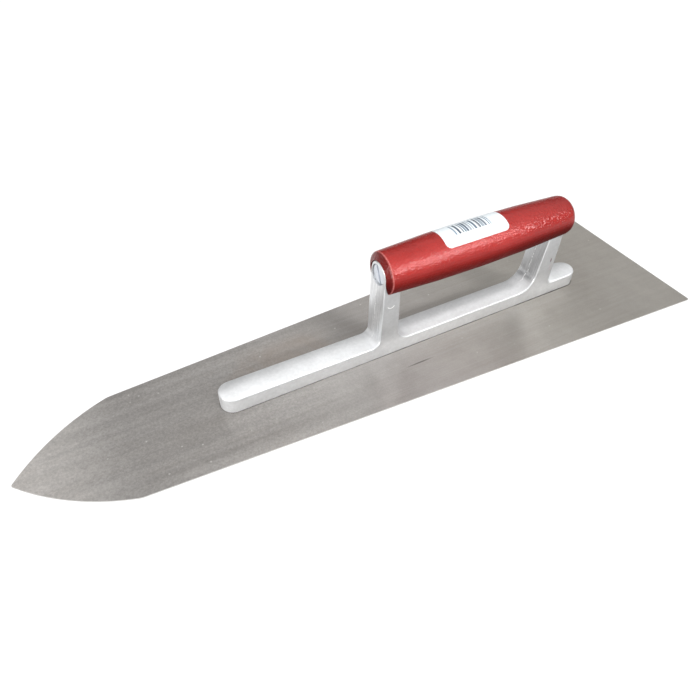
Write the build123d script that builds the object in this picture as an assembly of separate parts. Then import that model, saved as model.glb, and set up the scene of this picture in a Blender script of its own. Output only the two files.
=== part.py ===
from build123d import *
import math
import os

# Long pointed floor and finishing trowel: a tapered steel blade, a cast aluminium bracket
# riveted to it, and a turned wooden grip that one long screw ties between the two posts.
# +X runs from the nose to the heel, +Z is up, and the blade's underside lies on Z = 0
# with the middle of its length at X = 0. All sizes are in millimetres.

# Blade
blade_length = 480.0
blade_heel_width = 132.6
blade_shoulder_width = 83.8
blade_nose_length = 62.4
blade_nose_bulge = 5.5
blade_tip_radius = 1.6
blade_shoulder_radius = 14.0
blade_heel_corner_radius = 1.5
blade_thickness = 0.8

# Bracket, measured back from the blade's tip. Its die parts along the plane Y = 0, where the
# heights, starts and thicknesses below are taken. Every face that looks up or along the blade
# is crowned: it falls away from that plane by the crown drop at the casting's two sides.
bracket_start = 124.0
bracket_length = 292.2
bracket_width = 17.9
bracket_crown_drop = 0.8
bracket_edge_radius = 1.0
tail_edge_radius = 1.6
crown_cut_margin = 2.0
nose_height = 11.8
foot_height = 11.0
tail_height = 11.3
front_post_start = 234.6
front_post_thickness = 16.0
front_post_front_lean = 1.0
front_post_back_lean = -1.4
front_post_toe_radius = 5.0
front_post_heel_radius = 9.0
rear_post_start = 366.3
rear_post_thickness = 18.8
rear_post_front_lean = 6.9
rear_post_back_lean = 1.8
rear_post_toe_radius = 13.0
rear_post_tail_radius = 2.6

# Grip
grip_axis_height = 65.0
grip_length = 154.8
grip_setback = 0.1
grip_face_diameter = 17.0
grip_front_diameter = 28.7
grip_front_taper = 2.9
grip_front_rounding = 1.9
grip_middle_diameter = 32.6
grip_middle_share = 0.47
grip_back_diameter = 27.4
grip_back_rounding = 6.0
grip_round_tapers = 4
grip_bore_diameter = 9.0
post_side_clearance = 0.4
post_end_clearance = 0.15

# Tie screw, M8 with a slotted cheese head
screw_diameter = 8.0
screw_head_diameter = 13.8
screw_head_height = 5.0
screw_head_chamfer = 0.5
screw_slot_width = 1.6
screw_slot_depth = 1.8
screw_slot_turn = -26.0
screw_end_chamfer = 1.0
screw_end_margin = 2.0
screw_seat_depth = 6.2
screw_seat_clearance = 0.3
screw_hole_clearance = 0.3

# Blade rivets
rivet_count = 6
rivet_shank_diameter = 5.0
rivet_head_diameter = 7.4
rivet_head_angle = 120.0
rivet_foot_depth = 6.0
rivet_hole_margin = 0.3
rivet_end_inset = 16.0

# Places that follow from the sizes above
tip_x = -blade_length / 2
heel_x = tip_x + blade_length
foot_x = tip_x + bracket_start
tail_x = foot_x + bracket_length
half_width = bracket_width / 2
deck_z = blade_thickness
axis_z = deck_z + grip_axis_height
above_z = axis_z + bracket_width
beyond = bracket_width


def leaning_x(start, lean, z):
    """X at height z of a post's face that starts on the blade and leans back by an angle."""
    return tip_x + start + (z - deck_z) * math.tan(math.radians(lean))


def front_post_x(z):
    """X of the front post's two faces, on the parting plane, at height z."""
    end = front_post_start + front_post_thickness
    front = leaning_x(front_post_start, front_post_front_lean, z)
    return front, leaning_x(end, front_post_back_lean, z)


def rear_post_x(z):
    """X of the rear post's two faces, on the parting plane, at height z."""
    end = rear_post_start + rear_post_thickness
    front = leaning_x(rear_post_start, rear_post_front_lean, z)
    return front, leaning_x(end, rear_post_back_lean, z)


grip_x = front_post_x(axis_z)[0] + grip_setback
screw_seat_x = front_post_x(axis_z)[0] + screw_seat_depth
screw_end_x = rear_post_x(axis_z)[1] - screw_end_margin


def rivet_body(length):
    """Countersunk rivet standing head down on Z = 0, with this overall length."""
    head = rivet_head_diameter / 2
    shank = rivet_shank_diameter / 2
    cone = (head - shank) / math.tan(math.radians(rivet_head_angle / 2))
    points = [(0, 0), (head, 0), (shank, cone), (shank, length), (0, length)]
    return revolve(Plane.XZ * make_face(Polyline(*points, close=True)), Axis.Z)


def rivet_row(extra=0.0):
    """All the blade rivets in one line under the foot, longer by this much at the top."""
    first = foot_x + rivet_end_inset
    last = tail_x - rivet_end_inset
    step = (last - first) / (rivet_count - 1)
    rivet = rivet_body(blade_thickness + rivet_foot_depth + extra)
    return [Pos(first + step * i, 0, 0) * rivet for i in range(rivet_count)]


def blade_sheet():
    """Flat sheet with a pointed arched nose, straight flaring sides and countersunk holes."""
    shoulder_x = tip_x + blade_nose_length
    shoulder_y = blade_shoulder_width / 2
    heel_y = blade_heel_width / 2
    chord = math.hypot(blade_nose_length, shoulder_y)
    arc_turn = 2 * math.atan(2 * blade_nose_bulge / chord)
    half_point = math.atan2(shoulder_y, blade_nose_length) + arc_turn
    point_x = tip_x - blade_tip_radius * (1 / math.sin(half_point) - 1)
    mid_x = tip_x + blade_nose_length / 2 - blade_nose_bulge * shoulder_y / chord
    mid_y = shoulder_y / 2 + blade_nose_bulge * blade_nose_length / chord
    edges = [
        ThreePointArc((point_x, 0), (mid_x, mid_y), (shoulder_x, shoulder_y)),
        Line((shoulder_x, shoulder_y), (heel_x, heel_y)),
        Line((heel_x, heel_y), (heel_x, -heel_y)),
        Line((heel_x, -heel_y), (shoulder_x, -shoulder_y)),
        ThreePointArc((shoulder_x, -shoulder_y), (mid_x, -mid_y), (point_x, 0)),
    ]
    outline = make_face(edges)
    rounded = [
        ((point_x, 0), blade_tip_radius),
        ((shoulder_x, shoulder_y), blade_shoulder_radius),
        ((shoulder_x, -shoulder_y), blade_shoulder_radius),
        ((heel_x, heel_y), blade_heel_corner_radius),
        ((heel_x, -heel_y), blade_heel_corner_radius),
    ]
    for (x, y), radius in rounded:
        outline = fillet(outline.vertices().sort_by_distance((x, y, 0))[0], radius)
    return extrude(outline, blade_thickness) - rivet_row()


def bracket_runs():
    """The casting's upper outline on its parting plane, in three runs that the posts divide."""
    nose_z = deck_z + nose_height
    foot_z = deck_z + foot_height
    tail_z = deck_z + tail_height
    nose_run = [
        (foot_x - crown_cut_margin, nose_z),
        (front_post_x(foot_z)[0], foot_z),
        (front_post_x(above_z)[0], above_z),
    ]
    finger_run = [
        (front_post_x(above_z)[1], above_z),
        (front_post_x(foot_z)[1], foot_z),
        (rear_post_x(foot_z)[0], foot_z),
        (rear_post_x(above_z)[0], above_z),
    ]
    tail_run = [
        (rear_post_x(above_z)[1], above_z),
        (rear_post_x(tail_z)[1], tail_z),
        (tail_x + crown_cut_margin, tail_z),
    ]
    return [
        FilletPolyline(*nose_run, radius=front_post_toe_radius),
        FilletPolyline(*finger_run, radius=(front_post_heel_radius, rear_post_toe_radius)),
        FilletPolyline(*tail_run, radius=rear_post_tail_radius),
    ]


def bracket_blank(nose_run, finger_run, tail_run):
    """Flat-sided block with the runs' outline, a little larger than the crowned casting."""
    low_z = deck_z - beyond
    under_tail = ((tail_run @ 1).X, low_z)
    under_nose = ((nose_run @ 0).X, low_z)
    edges = [
        nose_run,
        Line(nose_run @ 1, finger_run @ 0),
        finger_run,
        Line(finger_run @ 1, tail_run @ 0),
        tail_run,
        Polyline(tail_run @ 1, under_tail, under_nose, nose_run @ 0),
    ]
    side = offset(make_face(edges), amount=crown_cut_margin / 2, kind=Kind.INTERSECTION)
    return extrude(Plane.XZ * side, half_width, both=True)


def crown_cutter(run):
    """All that stands proud of the crowned faces along one run of the casting's outline."""
    path = Plane.XZ * run
    side = half_width + crown_cut_margin
    drop = bracket_crown_drop * (side / half_width) ** 2
    edges = [
        ThreePointArc((-side, -drop), (0, 0), (side, -drop)),
        Polyline((side, -drop), (side, crown_cut_margin), (-side, crown_cut_margin), (-side, -drop)),
    ]
    across = Plane(origin=path @ 0, x_dir=(0, 1, 0), z_dir=path % 0)
    return sweep(across * make_face(edges), path=path)


def crowned(body, run, edge_radius):
    """The casting with the faces along one run crowned and the edges beside them rounded."""
    body -= crown_cutter(run)
    middle = run @ 0.5
    sides = (middle.X, half_width, middle.Y), (middle.X, -half_width, middle.Y)
    # Each of these two edges is part of a smooth chain that is rounded along with it.
    return fillet([body.edges().sort_by_distance(side)[0] for side in sides], edge_radius)


def post_arch(clearance):
    """End view of a post: straight sides under a half-round top on the grip's axis."""
    side = half_width + clearance
    edges = [
        Line((-side, 0), (-side, axis_z)),
        ThreePointArc((-side, axis_z), (0, axis_z + side), (side, axis_z)),
        Line((side, axis_z), (side, 0)),
        Line((side, 0), (-side, 0)),
    ]
    return Plane.YZ * make_face(edges)


def along_grip(start, end, diameter):
    """Round bar on the grip's axis, from one X to another."""
    bar = Cylinder(diameter / 2, end - start, align=(Align.CENTER, Align.CENTER, Align.MIN))
    return Pos(start, 0, axis_z) * Rot(0, 90, 0) * bar


def bracket_casting():
    """Foot, posts and tail in one casting, with crowned faces and rounded edges."""
    nose_run, finger_run, tail_run = bracket_runs()
    plan = Pos(foot_x + bracket_length / 2, 0, deck_z) * SlotOverall(bracket_length, bracket_width)
    body = bracket_blank(nose_run, finger_run, tail_run) & extrude(plan, above_z)
    body = crowned(body, finger_run, bracket_edge_radius)
    body = crowned(body, tail_run, tail_edge_radius)
    body &= Pos(foot_x - beyond, 0, 0) * extrude(post_arch(0), bracket_length + 2 * beyond)
    body = crowned(body, nose_run, bracket_edge_radius)
    front_start, front_end = front_post_x(axis_z)
    rear_start, rear_end = rear_post_x(axis_z)
    seat_diameter = screw_head_diameter + 2 * screw_seat_clearance
    hole_diameter = screw_diameter + 2 * screw_hole_clearance
    body -= along_grip(front_start - beyond, screw_seat_x, seat_diameter)
    body -= along_grip(screw_seat_x - beyond, front_end + beyond, hole_diameter)
    body -= along_grip(rear_start - beyond, rear_end + beyond, screw_diameter)
    return body - rivet_row(rivet_hole_margin)


def in_tapers(profile):
    """The same lathe profile with every round stretch cut as a few short straight tapers."""
    points = []
    for edge in profile.face().outer_wire().order_edges():
        steps = 1 if edge.geom_type == GeomType.LINE else grip_round_tapers
        points += [edge @ (i / steps) for i in range(steps)]
    return make_face(Polyline(*points, close=True))


def turned_grip():
    """Barrel turned round its axis, with a bevelled front, a round back and post pockets."""
    radius = grip_middle_diameter / 2
    front_corner = (grip_front_taper, grip_front_diameter / 2)
    crest = (grip_length * grip_middle_share, radius)
    back_corner = (grip_length, grip_back_diameter / 2)
    edges = [
        Polyline((grip_length, 0), (0, 0), (0, grip_face_diameter / 2), front_corner),
        ThreePointArc(front_corner, crest, back_corner),
        Line(back_corner, (grip_length, 0)),
    ]
    profile = make_face(edges)
    rounded = [(front_corner, grip_front_rounding), (back_corner, grip_back_rounding)]
    for corner, rounding in rounded:
        profile = fillet(profile.vertices().sort_by_distance(corner)[0], rounding)
    body = revolve(in_tapers(profile), Axis.X)
    body = Pos(grip_x, 0, axis_z) * body
    front_end = front_post_x(axis_z - radius)[1] + post_end_clearance
    rear_start = rear_post_x(axis_z - radius)[0] - post_end_clearance
    rear_end = rear_post_x(axis_z + radius)[1] + post_end_clearance
    arch = post_arch(post_side_clearance)
    body -= Pos(grip_x - beyond, 0, 0) * extrude(arch, front_end - grip_x + beyond)
    body -= Pos(rear_start, 0, 0) * extrude(arch, rear_end - rear_start)
    return body - along_grip(front_end - beyond, rear_start + beyond, grip_bore_diameter)


def tie_screw():
    """Slotted cheese-head screw through the grip, with its head at the front."""
    head_x = screw_seat_x - screw_head_height
    head = along_grip(head_x, screw_seat_x, screw_head_diameter)
    head = chamfer(head.edges().sort_by(Axis.X)[0], screw_head_chamfer)
    shank = along_grip(screw_seat_x, screw_end_x, screw_diameter)
    shank = chamfer(shank.edges().sort_by(Axis.X)[-1], screw_end_chamfer)
    slot = Box(2 * screw_slot_depth, screw_slot_width, 2 * screw_head_diameter)
    return head + shank - Pos(head_x, 0, axis_z) * Rot(screw_slot_turn, 0, 0) * slot


if __name__ == "__main__":
    os.makedirs("parts", exist_ok=True)
    nodes = {
        "blade": blade_sheet(),
        "bracket": bracket_casting(),
        "grip": turned_grip(),
        "tie_screw": tie_screw(),
        "blade_rivets": Compound(children=rivet_row()),
    }
    for name, shape in nodes.items():
        shape.label = name
        export_step(shape, f"parts/{name}.step")
        print(name, round(shape.volume, 1), shape.is_valid, len(shape.solids()))
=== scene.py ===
import math

import bpy
import bmesh
from mathutils import Matrix, Vector
from mathutils.bvhtree import BVHTree


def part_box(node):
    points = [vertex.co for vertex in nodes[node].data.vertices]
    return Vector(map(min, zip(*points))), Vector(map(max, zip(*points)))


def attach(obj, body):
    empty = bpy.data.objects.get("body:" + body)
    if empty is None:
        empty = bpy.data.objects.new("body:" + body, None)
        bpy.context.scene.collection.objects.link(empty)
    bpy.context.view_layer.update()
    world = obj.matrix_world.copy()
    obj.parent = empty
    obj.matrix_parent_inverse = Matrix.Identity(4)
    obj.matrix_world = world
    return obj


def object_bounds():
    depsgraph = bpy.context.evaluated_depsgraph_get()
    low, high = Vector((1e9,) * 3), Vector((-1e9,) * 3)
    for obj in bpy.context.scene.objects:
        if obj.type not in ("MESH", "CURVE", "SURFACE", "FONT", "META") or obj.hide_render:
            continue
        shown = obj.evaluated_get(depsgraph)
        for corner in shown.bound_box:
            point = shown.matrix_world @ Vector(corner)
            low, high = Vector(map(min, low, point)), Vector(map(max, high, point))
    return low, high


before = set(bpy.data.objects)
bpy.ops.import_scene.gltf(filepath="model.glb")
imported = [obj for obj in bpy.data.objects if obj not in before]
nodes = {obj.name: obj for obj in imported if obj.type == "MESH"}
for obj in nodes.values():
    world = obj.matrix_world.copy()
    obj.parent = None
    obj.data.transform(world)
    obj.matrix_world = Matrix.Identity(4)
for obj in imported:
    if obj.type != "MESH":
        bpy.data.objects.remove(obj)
cad_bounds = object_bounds()
MM = 0.001


# --- node helpers ---------------------------------------------------------------------------
class Graph:
    """A material's node tree, with short calls for the nodes used here."""

    def __init__(self, name):
        self.material = bpy.data.materials.new(name)
        self.material.use_nodes = True
        self.tree = self.material.node_tree
        self.tree.nodes.clear()
        self.out = self.add("ShaderNodeOutputMaterial")
        self.shader = self.add("ShaderNodeBsdfPrincipled")
        self.link(self.shader.outputs[0], self.out.inputs[0])
        self.coords = self.add("ShaderNodeTexCoord").outputs["Object"]

    def add(self, kind, **settings):
        node = self.tree.nodes.new(kind)
        for key, value in settings.items():
            setattr(node, key, value)
        return node

    def link(self, a, b):
        self.tree.links.new(a, b)

    def feed(self, socket, value):
        if isinstance(value, bpy.types.NodeSocket):
            self.link(value, socket)
        else:
            socket.default_value = value

    def set(self, name, value):
        """Give the shader's named socket a constant or a node's output."""
        self.feed(self.shader.inputs[name], value)

    def math(self, operation, a, b=0.0):
        node = self.add("ShaderNodeMath", operation=operation)
        self.feed(node.inputs[0], a)
        self.feed(node.inputs[1], b)
        return node.outputs[0]

    def product(self, first, *others):
        for other in others:
            first = self.math("MULTIPLY", first, other)
        return first

    def gain_in(self, mask, gain):
        """1 outside a mask and this gain inside it."""
        return self.span(mask, 0.0, 1.0, 1.0, gain)

    def mapping(self, scale, location=(0, 0, 0)):
        node = self.add("ShaderNodeMapping")
        self.link(self.coords, node.inputs["Vector"])
        node.inputs["Scale"].default_value = scale
        node.inputs["Location"].default_value = location
        return node.outputs[0]

    def noise(self, scale, detail, rough, vector=None, distortion=0.0):
        node = self.add("ShaderNodeTexNoise")
        self.link(vector or self.coords, node.inputs["Vector"])
        node.inputs["Scale"].default_value = scale
        node.inputs["Detail"].default_value = detail
        node.inputs["Roughness"].default_value = rough
        node.inputs["Distortion"].default_value = distortion
        return node.outputs["Fac"]

    def noise_along(self, x, scale, detail, rough):
        """Noise that changes with one coordinate only."""
        node = self.add("ShaderNodeTexNoise", noise_dimensions="1D")
        self.link(x, node.inputs["W"])
        node.inputs["Scale"].default_value = scale
        node.inputs["Detail"].default_value = detail
        node.inputs["Roughness"].default_value = rough
        return node.outputs["Fac"]

    def spots(self, scale):
        """Distance from scattered points, and a colour of chance for each."""
        node = self.add("ShaderNodeTexVoronoi", feature="F1")
        self.link(self.coords, node.inputs["Vector"])
        node.inputs["Scale"].default_value = scale
        return node.outputs["Distance"], node.outputs["Color"]

    def two_tone(self, fac, dark, light):
        """A blend from a dark to a light colour over the middle of a noise."""
        node = self.add("ShaderNodeValToRGB")
        for element, position, colour in zip(node.color_ramp.elements, (0.3, 0.7), (dark, light)):
            element.position = position
            element.color = (*colour, 1.0)
        self.link(fac, node.inputs[0])
        return node.outputs[0]

    def span(self, value, low, high, to_low=0.0, to_high=1.0, smooth=False):
        """Value mapped from one range to another, and held at its ends."""
        node = self.add("ShaderNodeMapRange", clamp=True)
        if smooth:
            node.interpolation_type = "SMOOTHSTEP"
        self.feed(node.inputs["Value"], value)
        node.inputs["From Min"].default_value = low
        node.inputs["From Max"].default_value = high
        node.inputs["To Min"].default_value = to_low
        node.inputs["To Max"].default_value = to_high
        return node.outputs[0]

    def mix(self, fac, a, b, blend="MIX"):
        node = self.add("ShaderNodeMix", data_type="RGBA", blend_type=blend)
        self.feed(node.inputs["Factor"], fac)
        colour_a = next(s for s in node.inputs if s.identifier == "A_Color")
        colour_b = next(s for s in node.inputs if s.identifier == "B_Color")
        self.feed(colour_a, (*a, 1.0) if isinstance(a, tuple) else a)
        self.feed(colour_b, (*b, 1.0) if isinstance(b, tuple) else b)
        return next(s for s in node.outputs if s.identifier == "Result_Color")

    def axes(self, source=None):
        node = self.add("ShaderNodeSeparateXYZ")
        self.link(source or self.coords, node.inputs[0])
        return node.outputs

    def normal_axes(self):
        """The faces' own direction, before bump."""
        return self.axes(self.add("ShaderNodeNewGeometry").outputs["True Normal"])

    def bump(self, height, distance, strength, normal=None):
        node = self.add("ShaderNodeBump")
        node.inputs["Strength"].default_value = strength
        node.inputs["Distance"].default_value = distance
        self.link(height, node.inputs["Height"])
        if normal is not None:
            self.link(normal, node.inputs["Normal"])
        return node.outputs[0]

    def scale(self, colour, gain):
        """Colour times a plain number."""
        node = self.add("ShaderNodeVectorMath", operation="SCALE")
        self.feed(node.inputs[0], colour)
        self.feed(node.inputs["Scale"], gain)
        return node.outputs[0]

    def distance(self, x, y):
        """Length of the flat vector (x, y)."""
        total = self.math("ADD", self.product(x, x), self.product(y, y))
        return self.math("SQRT", total)

    def patch(self, x, y, centre, reach, soft=0.0):
        """1 at a centre, fading to 0 at the edge of an oval of these half sizes."""
        across = self.math("DIVIDE", self.math("SUBTRACT", x, centre[0]), reach[0])
        along = self.math("DIVIDE", self.math("SUBTRACT", y, centre[1]), reach[1])
        return self.span(self.distance(across, along), soft, 1.0, 1.0, 0.0, smooth=True)


def srgb(red, green, blue):
    """Linear colour from 0 to 255 display values."""
    def one(value):
        value /= 255.0
        return value / 12.92 if value <= 0.04045 else ((value + 0.055) / 1.055) ** 2.4
    return one(red), one(green), one(blue)


# --- materials ------------------------------------------------------------------------------
bracket_low, bracket_high = (Vector(c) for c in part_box("bracket"))
foot_half_width = bracket_high.y
foot_middle_x = (bracket_low.x + bracket_high.x) / 2
foot_straight = (bracket_high.x - bracket_low.x) / 2 - foot_half_width

# The blade's straight sides: half its width at the origin, and what that gains per unit of length
BLADE_HALF_WIDTH = 52.3 * MM
BLADE_SIDE_SLOPE = 0.0584
# Marks on the blade, and a patch of painted light beside the foot under the grip: centre and half
# sizes, lengthwise and across
GRIP_SIDE_LIGHT = ((48 * MM, -34 * MM), (62 * MM, 30 * MM))
RUST_FILM = ((-62 * MM, 24 * MM), (78 * MM, 22 * MM))
RUB_MARK = ((18 * MM, -26 * MM), (14 * MM, 0.8 * MM))
# Marks on the casting's near side: centre and half sizes, lengthwise and up
PIT = ((140.6 * MM, 34.2 * MM), (1.0 * MM, 2.6 * MM))
BLUSH = ((141.5 * MM, 27.0 * MM), (2.0 * MM, 8.0 * MM))
PIN_X = 1.9 * MM
PIN_Z = 45.4 * MM
PIN_RADIUS = 2.7 * MM
PARTING_WANDER = 0.9 * MM
BLADE_GRAIN_DEPTH = 0.02 * MM
CASTING_GRAIN_DEPTH = 0.06 * MM
DIMPLE_DEPTH = 0.55 * MM
WAVE_DEPTH = 0.3 * MM
PAPER_DEPTH = 0.02 * MM


def from_foot(g, x, y):
    """Distance outside the foot's outline, which is a slot with round ends."""
    from_middle = g.math("ABSOLUTE", g.math("SUBTRACT", x, foot_middle_x))
    past = g.math("MAXIMUM", g.math("SUBTRACT", from_middle, foot_straight), 0.0)
    return g.math("SUBTRACT", g.distance(past, y), foot_half_width)


def blade_steel():
    """Thin rolled steel, ground lengthwise, with handling marks, painted light at the tip, the
    heel, the near edge and beside the foot, and a line of painted shade round the foot.
    """
    g = Graph("blade_steel")
    x, y, z = g.axes()
    fine = g.noise(1.0, 4.0, 0.6, g.mapping((60, 2600, 60)))
    broad = g.noise(1.0, 4.0, 0.6, g.mapping((5, 260, 5)))
    cloud = g.noise(13.0, 5.0, 0.6, distortion=0.6)
    mottle = g.noise(90.0, 4.0, 0.65)
    grain = g.noise(1300.0, 2.0, 0.7)
    speckle = g.noise(720.0, 2.0, 0.6)
    base = g.two_tone(cloud, srgb(152, 148, 144), srgb(160, 157, 154))
    base = g.mix(g.span(broad, 0.40, 0.72, 0.0, 0.45), base, srgb(166, 163, 161))
    gain = g.product(g.span(mottle, 0.3, 0.7, 0.965, 1.035), g.span(grain, 0.3, 0.7, 0.92, 1.08))
    # speckled towards the nose, brushed lengthwise behind it
    brushed = g.noise(1.0, 4.0, 0.7, g.mapping((16, 1100, 16), (1.7, 0.6, 0.0)))
    behind = g.span(x, -90 * MM, 10 * MM, smooth=True)
    speckled = g.product(g.span(speckle, 0.3, 0.7, -0.10, 0.10), g.math("SUBTRACT", 1.15, behind))
    fading = g.span(x, 100 * MM, 170 * MM, 1.0, 0.45)
    brushed = g.product(g.span(brushed, 0.3, 0.7, -0.055, 0.055), behind, fading)
    gain = g.product(gain, g.math("ADD", 1.0, g.math("ADD", speckled, brushed)))
    # painted light: brighter at the tip and the heel, along the near edge and in a patch beside
    # the foot under the grip
    tip_light = g.span(x, -165 * MM, -240 * MM, 1.0, 1.66, smooth=True)
    heel_light = g.span(x, 165 * MM, 235 * MM, 1.0, 1.22, smooth=True)
    half_width = g.math("ADD", g.product(x, BLADE_SIDE_SLOPE), BLADE_HALF_WIDTH)
    from_edge = g.math("ADD", y, half_width)
    near_edge_light = g.product(
        g.span(from_edge, 8 * MM, 2 * MM, smooth=True),
        g.span(x, -172 * MM, -140 * MM),
        g.span(x, -35 * MM, -75 * MM),
    )
    bands = g.noise(1.0, 3.0, 0.6, g.mapping((5, 130, 5), (0.9, 3.0, 0.0)))
    bands = g.product(g.span(bands, 0.35, 0.65, -0.07, 0.07), g.math("SUBTRACT", 1.2, behind))
    gain = g.product(gain, g.math("ADD", 1.0, bands))
    grip_side_light = g.patch(x, y, *GRIP_SIDE_LIGHT)
    ground = g.span(x, -60 * MM, 5 * MM, 0.94, 0.99, smooth=True)
    gain = g.product(
        gain, tip_light, heel_light, ground, g.gain_in(grip_side_light, 1.16), g.gain_in(near_edge_light, 1.24)
    )
    base = g.scale(base, gain)
    # a little warmer towards the heel
    base = g.mix(g.span(x, 0.0, 130 * MM), base, (1.0, 0.99, 0.95), "MULTIPLY")
    # old rust film on the far side of the foot
    film = g.span(g.noise(26.0, 4.0, 0.6, distortion=0.5), 0.44, 0.66)
    place = g.patch(x, y, *RUST_FILM, 0.2)
    base = g.mix(g.product(film, place, 0.42), base, srgb(148, 132, 118))
    # light specks and a few lengthwise scratches
    spots, shade = g.spots(170.0)
    chance = g.axes(shade)[0]
    speck = g.product(g.span(spots, 0.05, 0.12, 1.0, 0.0), g.span(chance, 0.80, 0.86))
    lines = g.noise(1.0, 2.0, 0.5, g.mapping((7, 620, 7), (0.3, 0.0, 0.0)))
    scratch = g.product(g.span(lines, 0.70, 0.74), g.span(cloud, 0.45, 0.6))
    base = g.mix(g.product(speck, 0.5), base, srgb(222, 220, 216))
    base = g.mix(g.product(scratch, 0.35), base, srgb(205, 202, 198))
    # and fewer dark ones
    dark_lines = g.noise(1.0, 2.0, 0.5, g.mapping((9, 540, 9), (4.1, 2.0, 0.0)))
    dark_scratch = g.product(g.span(dark_lines, 0.71, 0.75), g.span(cloud, 0.55, 0.4))
    base = g.mix(g.product(dark_scratch, 0.4), base, srgb(104, 99, 94))
    # the sheared edges are worn bright
    sheared = g.span(g.math("ABSOLUTE", g.normal_axes()[2]), 0.6, 0.3)
    base = g.mix(g.product(sheared, 0.8), base, srgb(226, 225, 222))
    # a rub mark beside the foot
    rub = g.patch(x, y, *RUB_MARK, 0.2)
    base = g.mix(g.product(rub, 0.75), base, srgb(84, 80, 76))
    # painted shade: a dark line on the upper face, round the foot, in the crease where the foot
    # stands
    widening = g.span(x, 90 * MM, 150 * MM, 0.0, 0.3 * MM)
    from_contact = g.math("SUBTRACT", from_foot(g, x, y), widening)
    contact_shade = g.product(
        g.span(from_contact, 0.25 * MM, 0.65 * MM, 1.0, 0.0),
        g.span(g.noise(45.0, 4.0, 0.7), 0.38, 0.58, 0.45, 1.0),
        g.span(x, -110 * MM, 60 * MM, 0.75, 1.0),
        g.span(z, 0.3 * MM, 0.6 * MM),
    )
    base = g.mix(contact_shade, base, srgb(44, 40, 38))
    g.set("Base Color", base)
    g.set("Metallic", 1.0)
    rough = g.span(cloud, 0.3, 0.7, 0.38, 0.44)
    rough = g.math("ADD", rough, g.span(grain, 0.3, 0.7, -0.03, 0.03))
    g.set("Roughness", rough)
    height = g.math("ADD", g.product(fine, 0.6), g.product(grain, 0.4))
    g.set("Normal", g.bump(height, BLADE_GRAIN_DEPTH, 0.4))
    # the grinding runs lengthwise, so highlights spread across the blade
    across = g.add("ShaderNodeCombineXYZ")
    across.inputs["Y"].default_value = 1.0
    g.set("Tangent", across.outputs[0])
    g.set("Anisotropic", 0.93)
    return g.material


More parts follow.
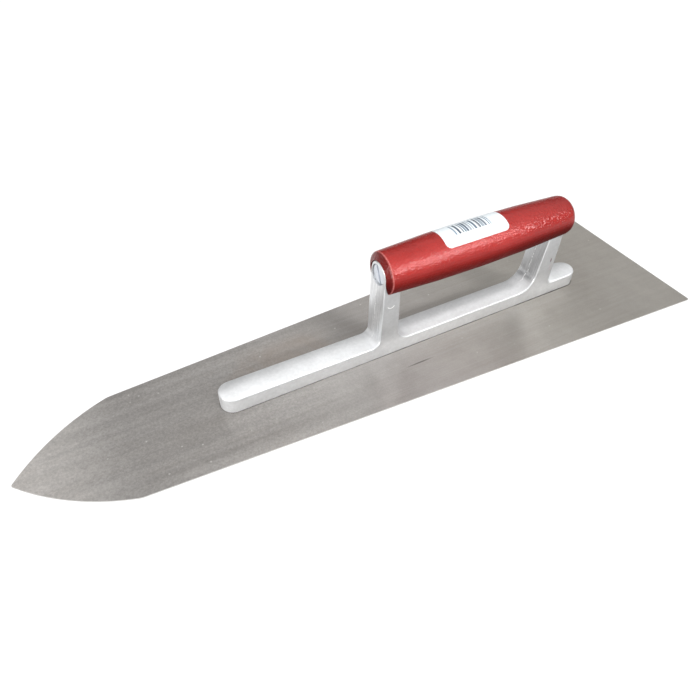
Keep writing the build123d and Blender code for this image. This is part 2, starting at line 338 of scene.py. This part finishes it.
def cast_aluminium():
    """Die-cast and tumbled, with a parting line down the middle, a draw grain up the posts, and
    painted light and shade on its faces.
    """
    g = Graph("cast_aluminium")
    x, y, z = g.axes()
    cloud = g.noise(60.0, 4.0, 0.6)
    mottle = g.noise(420.0, 3.0, 0.6)
    grain = g.noise(1400.0, 3.0, 0.6)
    draw = g.noise(1.0, 3.0, 0.6, g.mapping((30, 1500, 60)))
    base = g.two_tone(cloud, srgb(221, 222, 223), srgb(232, 233, 234))
    gain = g.span(mottle, 0.3, 0.7, 0.95, 1.05)
    normal_x, normal_y, normal_z = g.normal_axes()
    # draw lines up the fronts and backs of the posts, with painted shade that darkens the rear
    # post against the front one
    along = g.math("ABSOLUTE", normal_x)
    post = g.product(g.span(along, 0.7, 0.9), g.span(z, 13 * MM, 18 * MM))
    drawn_and_shaded = g.product(
        g.span(draw, 0.35, 0.65, 0.84, 1.12), g.span(x, 20 * MM, 110 * MM, 1.02, 0.76)
    )
    drawn_and_shaded = g.math("ADD", g.product(g.math("SUBTRACT", drawn_and_shaded, 1.0), post), 1.0)
    # painted shade on the posts' sides, on the sides from the middle back and on the top's far
    # half, and painted light on the nose
    side = g.span(g.math("ABSOLUTE", normal_y), 0.75, 0.9)
    post_side = g.product(side, g.span(z, 9 * MM, 24 * MM))
    back_side = g.product(side, g.span(x, -90 * MM, 0.0))
    upward = g.span(normal_z, 0.6, 0.8)
    far_half = g.product(upward, g.span(y, -1 * MM, 6 * MM))
    nose_light = g.product(g.span(x, -98 * MM, -112 * MM), g.span(normal_z, 0.6, 0.4))
    gain = g.product(
        gain, drawn_and_shaded, g.gain_in(post_side, 0.73), g.gain_in(back_side, 0.90),
        g.gain_in(far_half, 0.89), g.gain_in(nose_light, 1.14),
    )
    # painted shade under the grip: the top of the foot is darker towards its far half and a touch
    # lighter at its near half, which is also made less metallic
    under_grip = g.product(
        g.span(x, 12 * MM, 26 * MM), g.span(x, 132 * MM, 118 * MM), upward
    )
    near_half_weight = g.span(y, 2.5 * MM, -4.5 * MM, smooth=True)
    grip_shade = g.span(near_half_weight, 0.0, 1.0, 0.84, 1.02)
    grip_shade = g.product(g.math("SUBTRACT", grip_shade, 1.0), under_grip)
    # painted shade: the top of the tail is darker
    tail_shade = g.product(upward, g.span(x, 148 * MM, 154 * MM))
    gain = g.product(gain, g.math("ADD", grip_shade, 1.0), g.gain_in(tail_shade, 0.87))
    base = g.scale(base, gain)
    # parting line, a fine raised flash that wanders a little, painted near white as a highlight
    # along it
    wander = g.noise(1.0, 3.0, 0.6, g.mapping((160, 0, 160)))
    wander = g.span(wander, 0.3, 0.7, -PARTING_WANDER, PARTING_WANDER)
    off_line = g.math("ABSOLUTE", g.math("SUBTRACT", y, wander))
    ragged = g.span(g.noise(1.0, 4.0, 0.7, g.mapping((500, 0, 500))), 0.42, 0.52)
    flash_and_highlight = g.product(
        g.span(off_line, 0.25 * MM, 0.6 * MM, 1.0, 0.0), ragged,
        g.span(along, 0.45, 0.75), g.span(z, 11.5 * MM, 14 * MM),
    )
    base = g.mix(g.product(flash_and_highlight, 0.85), base, srgb(253, 253, 253))
    # an ejector-pin ring with a painted highlight on its lower half, a casting pit darkened with
    # painted shade, and the blush round it, on the near side
    near_side = g.span(normal_y, -0.7, -0.9)
    from_pin = g.distance(g.math("SUBTRACT", x, PIN_X), g.math("SUBTRACT", z, PIN_Z))
    off_ring = g.math("ABSOLUTE", g.math("SUBTRACT", from_pin, PIN_RADIUS))
    pin_and_highlight = g.span(off_ring, 0.15 * MM, 0.45 * MM, 1.0, 0.0)
    lower_half = g.span(z, 44.6 * MM, 43.8 * MM)
    pin_and_highlight = g.product(pin_and_highlight, lower_half, near_side)
    base = g.mix(pin_and_highlight, base, srgb(255, 255, 255))
    pit_and_shade = g.patch(x, z, *PIT, 0.3)
    base = g.mix(g.product(pit_and_shade, near_side, 0.75), base, srgb(112, 76, 82))
    blush = g.patch(x, z, *BLUSH, 0.1)
    blush = g.product(blush, near_side, g.span(mottle, 0.45, 0.6))
    base = g.mix(g.product(blush, 0.45), base, srgb(206, 176, 180))
    # the seam's shadow at the foot's lower edge
    contact_shade = g.product(
        g.span(z, bracket_low.z + 0.1 * MM, bracket_low.z + 0.4 * MM, 1.0, 0.0),
        g.span(x, -60 * MM, 60 * MM, 0.0, 0.6),
    )
    base = g.mix(contact_shade, base, srgb(84, 79, 76))
    g.set("Base Color", base)
    g.set("Metallic", g.span(g.product(under_grip, near_half_weight), 0.0, 1.0, 0.70, 0.25))
    rough = g.span(cloud, 0.3, 0.7, 0.46, 0.54)
    g.set("Roughness", g.math("SUBTRACT", rough, g.product(post, 0.16)))
    height = g.math("ADD", g.product(grain, 0.5), g.product(mottle, 0.5))
    height = g.math("ADD", height, g.product(g.math("ADD", flash_and_highlight, pin_and_highlight), 2.5))
    height = g.math("SUBTRACT", height, g.product(pit_and_shade, near_side, 2.0))
    g.set("Normal", g.bump(height, CASTING_GRAIN_DEPTH, 0.6))
    return g.material


def red_lacquer():
    """Metallic red lacquer over turned wood, with the small dimples of a dipped coat."""
    g = Graph("red_lacquer")
    x = g.axes()[0]
    cloud = g.noise(45.0, 4.0, 0.6)
    flakes = g.noise(1300.0, 2.0, 0.7)
    base = g.two_tone(cloud, (0.33, 0.020, 0.017), (0.39, 0.027, 0.023))
    base = g.mix(g.span(flakes, 0.58, 0.72, 0.0, 0.18), base, (0.68, 0.14, 0.13))
    normal_x, _, normal_z = g.normal_axes()
    # painted shade: darker on the ends, underneath and towards the back
    end_shade = g.span(g.math("ABSOLUTE", normal_x), 0.45, 0.75, 1.0, 0.50, smooth=True)
    underside_shade = g.span(normal_z, -0.40, 0.35, 0.44, 1.0, smooth=True)
    low_back = g.product(g.span(normal_z, 0.25, -0.10), g.span(x, 60 * MM, 120 * MM))
    underside_shade = g.product(underside_shade, g.gain_in(low_back, 0.72))
    lengthwise = g.span(x, 80 * MM, 140 * MM, 1.03, 0.85, smooth=True)
    base = g.scale(base, g.product(lengthwise, end_shade, underside_shade))
    # painted highlight: a light pink line along the front shoulder
    shoulder_highlight = g.product(
        g.span(normal_x, -0.12, -0.35), g.span(normal_x, -0.75, -0.50),
        g.span(flakes, 0.35, 0.6, 0.35, 0.70),
    )
    base = g.mix(shoulder_highlight, base, (0.76, 0.27, 0.25))
    g.set("Base Color", base)
    g.set("Metallic", 0.6)
    g.set("Roughness", 0.56)
    g.set("Specular IOR Level", 0.1)
    g.set("Specular Tint", (0.5, 0.06, 0.06, 1.0))
    g.set("Coat Weight", g.product(
        g.span(normal_z, -0.05, 0.45, 0.10, 0.90, smooth=True),
        g.span(normal_z, 0.72, 0.95, 1.0, 0.6, smooth=True),
    ))
    g.set("Coat Roughness", 0.07)
    g.set("Coat IOR", 1.45)
    dimples = g.noise(480.0, 3.0, 0.6)
    waves = g.noise(120.0, 2.0, 0.5, g.mapping((1.0, 1.6, 1.6)))
    bumps = g.bump(dimples, DIMPLE_DEPTH, 1.0, g.bump(waves, WAVE_DEPTH, 0.5))
    g.set("Normal", bumps)
    g.set("Coat Normal", bumps)
    return g.material


def zinc():
    """Bright zinc plate on the screw and the rivets."""
    g = Graph("bright_zinc")
    cloud = g.noise(220.0, 3.0, 0.6)
    base = g.two_tone(cloud, srgb(214, 219, 226), srgb(230, 234, 240))
    g.set("Base Color", base)
    g.set("Metallic", 0.6)
    g.set("Roughness", g.span(cloud, 0.3, 0.7, 0.36, 0.48))
    return g.material


materials = {
    "blade": blade_steel(),
    "bracket": cast_aluminium(),
    "grip": red_lacquer(),
    "tie_screw": zinc(),
    "blade_rivets": zinc(),
}
for name, material in materials.items():
    data = nodes[name].data
    data.materials.clear()
    data.materials.append(material)


# --- smooth shading -------------------------------------------------------------------------
SMOOTH_ANGLE = math.radians(28)
JOIN_DISTANCE = 0.01 * MM


def rounded_shading():
    """Joins the faces' seams and shades smoothly across every edge flatter than an angle."""
    group = bpy.data.node_groups.new("rounded_shading", "GeometryNodeTree")
    group.interface.new_socket("Geometry", in_out="INPUT", socket_type="NodeSocketGeometry")
    group.interface.new_socket("Geometry", in_out="OUTPUT", socket_type="NodeSocketGeometry")
    start = group.nodes.new("NodeGroupInput")
    end = group.nodes.new("NodeGroupOutput")
    forget = group.nodes.new("GeometryNodeRemoveAttribute")
    forget.inputs["Name"].default_value = "custom_normal"
    merge = group.nodes.new("GeometryNodeMergeByDistance")
    merge.inputs["Distance"].default_value = JOIN_DISTANCE
    angle = group.nodes.new("GeometryNodeInputMeshEdgeAngle")
    flat_enough = group.nodes.new("FunctionNodeCompare")
    flat_enough.operation = "LESS_THAN"
    flat_enough.inputs["B"].default_value = SMOOTH_ANGLE
    faces = group.nodes.new("GeometryNodeSetShadeSmooth")
    edges = group.nodes.new("GeometryNodeSetShadeSmooth")
    edges.domain = "EDGE"
    joints = (
        (start.outputs[0], forget.inputs[0]),
        (forget.outputs[0], merge.inputs[0]),
        (merge.outputs[0], faces.inputs[0]),
        (faces.outputs[0], edges.inputs[0]),
        (angle.outputs["Unsigned Angle"], flat_enough.inputs["A"]),
        (flat_enough.outputs[0], edges.inputs["Shade Smooth"]),
        (edges.outputs[0], end.inputs[0]),
    )
    for a, b in joints:
        group.links.new(a, b)
    return group


shading = rounded_shading()
for name in materials:
    modifier = nodes[name].modifiers.new("rounded_shading", "NODES")
    modifier.node_group = shading

# --- label ----------------------------------------------------------------------------------
grip_low, grip_high = (Vector(c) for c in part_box("grip"))
grip_axis_z = (grip_low.z + grip_high.z) / 2
LABEL_START = grip_low.x + 43.7 * MM
LABEL_LENGTH = 50.2 * MM
LABEL_NEAR_TURN = math.radians(44.0)
LABEL_FAR_TURN = math.radians(-43.0)
LABEL_CORNER = 4.0 * MM
LABEL_LIFT = 0.08 * MM
LABEL_COLUMNS = 40
LABEL_ROWS = 28
RAY_START = 50 * MM
SMOOTH_FACE_AREA = 1e-7
BARS_START = LABEL_START + 10.4 * MM
BARS_END = LABEL_START + 39.5 * MM
BARS_FAR_TURN = math.radians(-21.5)
BARS_NEAR_TURN = math.radians(16.5)
BARS_SOFT_EDGE = 0.1 * MM
BARS_SOFT_TURN = math.radians(0.5)


def grip_surface():
    """A function that gives the grip's radius at a place along it and a turn round its axis."""
    mesh = nodes["grip"].data
    place = nodes["grip"].matrix_world
    tree = BVHTree.FromPolygons(
        [place @ v.co for v in mesh.vertices], [tuple(p.vertices) for p in mesh.polygons]
    )

    def radius(x, turn):
        outward = Vector((0.0, -math.sin(turn), math.cos(turn)))
        axis = Vector((x, 0.0, grip_axis_z))
        hit = tree.ray_cast(axis + outward * RAY_START, -outward)[0]
        return (hit - axis).length

    return radius


def paper_label():
    """A paper sticker over the top of the grip: a grid that follows it, with rounded corners."""
    radius = grip_surface()
    middle_radius = radius(LABEL_START + LABEL_LENGTH / 2, 0.0)
    middle_turn = (LABEL_NEAR_TURN + LABEL_FAR_TURN) / 2
    half_turn = (LABEL_NEAR_TURN - LABEL_FAR_TURN) / 2
    half_reach = half_turn * middle_radius
    bm = bmesh.new()
    grid = []
    for column in range(LABEL_COLUMNS + 1):
        share = 0.5 - 0.5 * math.cos(math.pi * column / LABEL_COLUMNS)
        along = LABEL_LENGTH * share
        from_end = min(along, LABEL_LENGTH - along)
        cut = 0.0
        if from_end < LABEL_CORNER:
            cut = LABEL_CORNER - math.sqrt(LABEL_CORNER ** 2 - (LABEL_CORNER - from_end) ** 2)
        reach = half_reach - cut
        line = []
        for row in range(LABEL_ROWS + 1):
            turn = middle_turn + (2 * row / LABEL_ROWS - 1) * reach / middle_radius
            r = radius(LABEL_START + along, turn) + LABEL_LIFT
            line.append(bm.verts.new((
                LABEL_START + along,
                -r * math.sin(turn),
                r * math.cos(turn),
            )))
        grid.append(line)
    for a, b in zip(grid, grid[1:]):
        for row in range(LABEL_ROWS):
            bm.faces.new((a[row], a[row + 1], b[row + 1], b[row]))
    # the rim turns down to just below the grip's surface
    rim = [e for e in bm.edges if e.is_boundary]
    skirt = bmesh.ops.extrude_edge_only(bm, edges=rim)["geom"]
    for vertex in (item for item in skirt if isinstance(item, bmesh.types.BMVert)):
        flat = Vector((0.0, vertex.co.y, vertex.co.z))
        vertex.co -= flat.normalized() * LABEL_LIFT * 1.5
    bmesh.ops.recalc_face_normals(bm, faces=bm.faces)
    if sum(f.normal.z * f.calc_area() for f in bm.faces) < 0:
        bmesh.ops.reverse_faces(bm, faces=bm.faces)
    mesh = bpy.data.meshes.new("paper_label")
    bm.to_mesh(mesh)
    bm.free()
    for polygon in mesh.polygons:
        polygon.use_smooth = polygon.area > SMOOTH_FACE_AREA
    piece = bpy.data.objects.new("paper_label", mesh)
    bpy.context.scene.collection.objects.link(piece)
    piece.location = (0.0, 0.0, grip_axis_z)
    return piece


def printed_paper():
    """White paper with a block of plain bars of uneven width, and nothing that can be read."""
    g = Graph("printed_paper")
    x, y, z = g.axes()
    turn = g.math("ARCTAN2", g.product(y, -1.0), z)
    fibre = g.noise(900.0, 3.0, 0.6)
    paper = g.two_tone(fibre, srgb(226, 234, 238), srgb(234, 240, 243))
    ink = g.span(g.noise_along(x, 640.0, 1.5, 0.8), 0.46, 0.54)
    left = g.span(x, BARS_START, BARS_START + BARS_SOFT_EDGE)
    right = g.span(x, BARS_END, BARS_END + BARS_SOFT_EDGE, 1.0, 0.0)
    top = g.span(turn, BARS_FAR_TURN, BARS_FAR_TURN + BARS_SOFT_TURN)
    bottom = g.span(turn, BARS_NEAR_TURN, BARS_NEAR_TURN + BARS_SOFT_TURN, 1.0, 0.0)
    block = g.product(left, right, top, bottom)
    group = g.noise_along(x, 150.0, 0.0, 0.5)
    bars = g.mix(g.span(group, 0.42, 0.58), srgb(44, 48, 68), srgb(112, 130, 146))
    base = g.mix(g.product(ink, block), paper, bars)
    g.set("Base Color", base)
    g.set("Roughness", 0.45)
    g.set("Normal", g.bump(fibre, PAPER_DEPTH, 0.4))
    return g.material


label = paper_label()
label.data.materials.append(printed_paper())
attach(label, "root")

# --- stage ----------------------------------------------------------------------------------
low = Vector(cad_bounds[0])
FLOOR_HALF_SIZE = 3.0
FLOOR_GLOW_RISE = (0.5, 1.8)
FLOOR_GLOW_NEAR = 0.85
FLOOR_GLOW_FAR = 1.0
WORLD_GLOW_RISE = (0.1, 0.95)
WORLD_GLOW_LOW = 0.12
WORLD_GLOW_HIGH = 0.5


def floor_material():
    """Grey to the lamps' light, and near white to the camera and to reflections."""
    g = Graph("floor_white")
    g.set("Base Color", (0.2, 0.2, 0.2, 1.0))
    g.set("Roughness", 0.9)
    g.set("Specular IOR Level", 0.0)
    glow = g.add("ShaderNodeEmission")
    glow.inputs["Color"].default_value = (1, 1, 1, 1)
    x, y, _ = g.axes()
    from_middle = g.distance(x, y)
    strength = g.span(from_middle, *FLOOR_GLOW_RISE, FLOOR_GLOW_NEAR, FLOOR_GLOW_FAR)
    g.link(strength, glow.inputs["Strength"])
    path = g.add("ShaderNodeLightPath")
    seen = g.math("MAXIMUM", path.outputs["Is Camera Ray"], path.outputs["Is Glossy Ray"])
    mixer = g.add("ShaderNodeMixShader")
    both = g.add("ShaderNodeAddShader")
    g.link(g.shader.outputs[0], both.inputs[0])
    g.link(glow.outputs[0], both.inputs[1])
    g.link(seen, mixer.inputs[0])
    g.link(g.shader.outputs[0], mixer.inputs[1])
    g.link(both.outputs[0], mixer.inputs[2])
    g.link(mixer.outputs[0], g.out.inputs[0])
    return g.material


floor_mesh = bpy.data.meshes.new("floor")
floor_corners = [
    (x * FLOOR_HALF_SIZE, y * FLOOR_HALF_SIZE, low.z)
    for x, y in ((-1, -1), (1, -1), (1, 1), (-1, 1))
]
floor_mesh.from_pydata(floor_corners, [], [(0, 1, 2, 3)])
floor = bpy.data.objects.new("floor", floor_mesh)
bpy.context.scene.collection.objects.link(floor)
floor.data.materials.append(floor_material())


def studio_world():
    """White to the camera. The rest sees a dimmer world that brightens from the horizon up."""
    world = bpy.data.worlds.new("studio")
    world.use_nodes = True
    tree = world.node_tree
    tree.nodes.clear()
    output = tree.nodes.new("ShaderNodeOutputWorld")
    background = tree.nodes.new("ShaderNodeBackground")
    background.inputs["Color"].default_value = (1, 1, 1, 1)
    direction = tree.nodes.new("ShaderNodeTexCoord")
    height = tree.nodes.new("ShaderNodeSeparateXYZ")
    sky = tree.nodes.new("ShaderNodeMapRange")
    sky.interpolation_type = "SMOOTHSTEP"
    sky.inputs["From Min"].default_value = WORLD_GLOW_RISE[0]
    sky.inputs["From Max"].default_value = WORLD_GLOW_RISE[1]
    sky.inputs["To Min"].default_value = WORLD_GLOW_LOW
    sky.inputs["To Max"].default_value = WORLD_GLOW_HIGH
    white = tree.nodes.new("ShaderNodeBackground")
    white.inputs["Color"].default_value = (1, 1, 1, 1)
    white.inputs["Strength"].default_value = 1.0
    light_path = tree.nodes.new("ShaderNodeLightPath")
    chooser = tree.nodes.new("ShaderNodeMixShader")
    joints = (
        (direction.outputs["Generated"], height.inputs[0]),
        (height.outputs["Z"], sky.inputs["Value"]),
        (sky.outputs[0], background.inputs["Strength"]),
        (light_path.outputs["Is Camera Ray"], chooser.inputs[0]),
        (background.outputs[0], chooser.inputs[1]),
        (white.outputs[0], chooser.inputs[2]),
        (chooser.outputs[0], output.inputs[0]),
    )
    for a, b in joints:
        tree.links.new(a, b)
    return world


bpy.context.scene.world = studio_world()


def softbox(name, place, target, width, height, glow):
    """Rectangular lamp that looks this bright where white is 1, whatever its size."""
    light = bpy.data.lights.new(name, "AREA")
    light.shape = "RECTANGLE"
    light.size = width
    light.size_y = height
    light.energy = glow * math.pi * width * height
    lamp = bpy.data.objects.new(name, light)
    bpy.context.scene.collection.objects.link(lamp)
    lamp.location = place
    lamp.rotation_euler = (Vector(target) - Vector(place)).to_track_quat("-Z", "Y").to_euler()


# each: name, place, target, width, height, glow
softbox("top", (0.3, 0.45, 1.1), (0.3, 0.45, 0.0), 4.4, 1.3, 0.87)
softbox("front_top", (0.1, -0.62, 0.94), (0.05, 0.0, 0.05), 2.4, 0.8, 1.2)
softbox("key", (0.42, -0.80, 0.50), (0.05, 0.0, 0.06), 0.6, 0.12, 29.0)
softbox("left", (-1.0, -0.36, 0.18), (-0.1, 0.0, 0.02), 0.4, 0.3, 18.0)

# --- camera ---------------------------------------------------------------------------------
SENSOR_WIDTH = 36.0
FOCAL_LENGTH = 31.2286937
CAMERA_X = low.x + 71.62 * MM
CAMERA_Y = -257.315 * MM
CAMERA_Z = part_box("blade")[1][2] + 295.932 * MM
azimuth, elevation, roll = (math.radians(a) for a in (-29.4908, 44.2597, 1.0987))
right = Vector((math.cos(azimuth), math.sin(azimuth), 0.0))
forward = Vector((
    -math.sin(azimuth) * math.cos(elevation),
    math.cos(azimuth) * math.cos(elevation),
    -math.sin(elevation),
))
up = right.cross(forward)
camera_right = right * math.cos(roll) + up * math.sin(roll)
camera_up = up * math.cos(roll) - right * math.sin(roll)
camera_data = bpy.data.cameras.new("camera")
camera_data.sensor_width = SENSOR_WIDTH
camera_data.lens = FOCAL_LENGTH
camera_data.clip_start = 0.01
camera = bpy.data.objects.new("camera", camera_data)
bpy.context.scene.collection.objects.link(camera)
camera.matrix_world = Matrix((
    (camera_right.x, camera_up.x, -forward.x, CAMERA_X),
    (camera_right.y, camera_up.y, -forward.y, CAMERA_Y),
    (camera_right.z, camera_up.z, -forward.z, CAMERA_Z),
    (0.0, 0.0, 0.0, 1.0),
))
bpy.context.scene.camera = camera
bpy.context.scene.view_settings.view_transform = "Standard"
